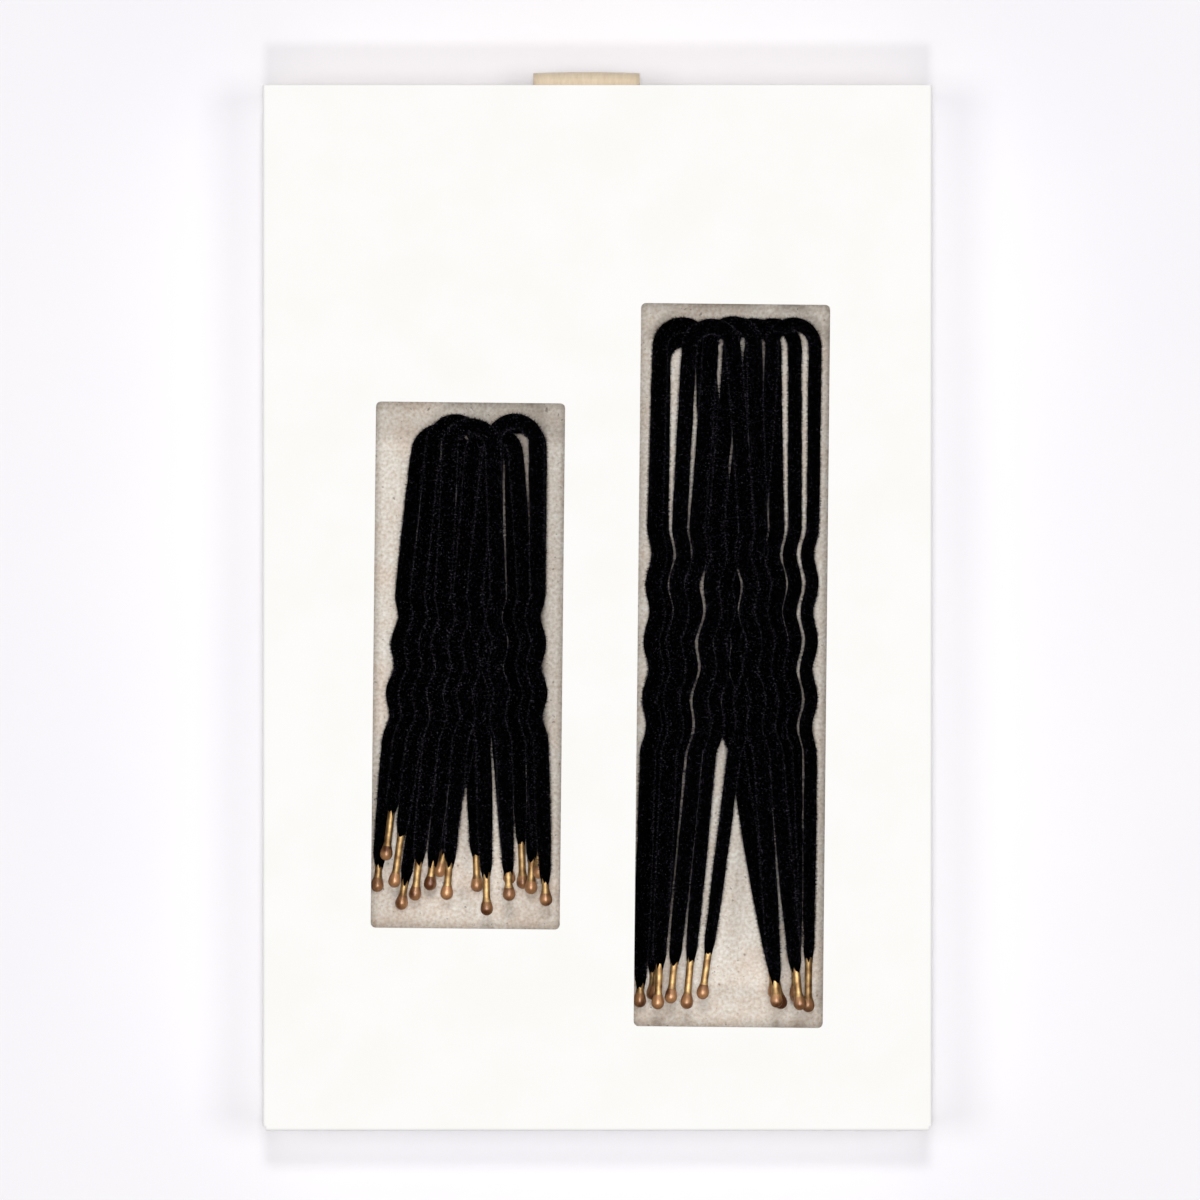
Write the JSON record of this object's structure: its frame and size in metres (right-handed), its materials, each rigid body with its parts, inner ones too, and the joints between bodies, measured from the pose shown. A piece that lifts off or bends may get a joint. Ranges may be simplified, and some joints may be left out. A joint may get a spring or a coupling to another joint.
{
  "type": "boxed hairpin set",
  "caption": "Slide-out window box of velvet-coated U hairpins in two lengths: white sleeve, grey tray with wells, ribbon pull and loose crimped pins with ball ends.",
  "frame": {"origin": "centre of the sleeve's bottom face, the box lying on its back", "axes": "+X towards the long pins' window, +Y towards the ribbon, the way the tray pulls out, +Z out of the windows"},
  "size_m": [0.067, 0.1061, 0.0144],
  "materials": {
    "white_coated_board": "white coated folding board, satin",
    "recycled_grey_board": "uncoated recycled grey-brown board with dark specks",
    "black_flock": "black velvet flock",
    "brass_wire": "drawn brass-coloured wire with bronze dipped ball ends",
    "grosgrain_ribbon": "beige ribbed ribbon"
  },
  "bodies": {
    "box": {"sleeve": "white_coated_board"},
    "drawer": {"tray": "recycled_grey_board", "well_pad": "recycled_grey_board", "ribbon_anchor": "grosgrain_ribbon", "long_pin_1_wire": "brass_wire", "long_pin_2_wire": "brass_wire", "long_pin_3_wire": "brass_wire", "long_pin_4_wire": "brass_wire", "long_pin_5_wire": "brass_wire", "long_pin_6_wire": "brass_wire", "short_pin_1_wire": "brass_wire", "short_pin_2_wire": "brass_wire", "short_pin_3_wire": "brass_wire", "short_pin_4_wire": "brass_wire", "short_pin_5_wire": "brass_wire", "short_pin_6_wire": "brass_wire", "short_pin_7_wire": "brass_wire", "long_pin_1_flock": "black_flock", "long_pin_2_flock": "black_flock", "long_pin_3_flock": "black_flock", "long_pin_4_flock": "black_flock", "long_pin_5_flock": "black_flock", "long_pin_6_flock": "black_flock", "short_pin_1_flock": "black_flock", "short_pin_2_flock": "black_flock", "short_pin_3_flock": "black_flock", "short_pin_4_flock": "black_flock", "short_pin_5_flock": "black_flock", "short_pin_6_flock": "black_flock", "short_pin_7_flock": "black_flock"},
    "ribbon": {"ribbon_loop": "grosgrain_ribbon"},
    "top_long_pin": {"long_pin_7_wire": "brass_wire", "long_pin_7_flock": "black_flock"},
    "top_short_pin": {"short_pin_8_wire": "brass_wire", "short_pin_8_flock": "black_flock"}
  },
  "joints": [
    {"name": "drawer_slide", "type": "slide", "parent": "box", "child": "drawer", "axis": [0, 1, 0], "range_m": [0, 0.085]},
    {"name": "ribbon_hinge", "type": "hinge", "parent": "drawer", "child": "ribbon", "pos_m": [-0.0011, 0.0521, 0.00927], "axis": [1, 0, 0], "range_deg": [0, 60]},
    {"name": "take_long_pin", "type": "slide", "parent": "drawer", "child": "top_long_pin", "axis": [0, 0, 1], "range_m": [0, 0.02]},
    {"name": "take_short_pin", "type": "slide", "parent": "drawer", "child": "top_short_pin", "axis": [0, 0, 1], "range_m": [0, 0.02]}
  ]
}
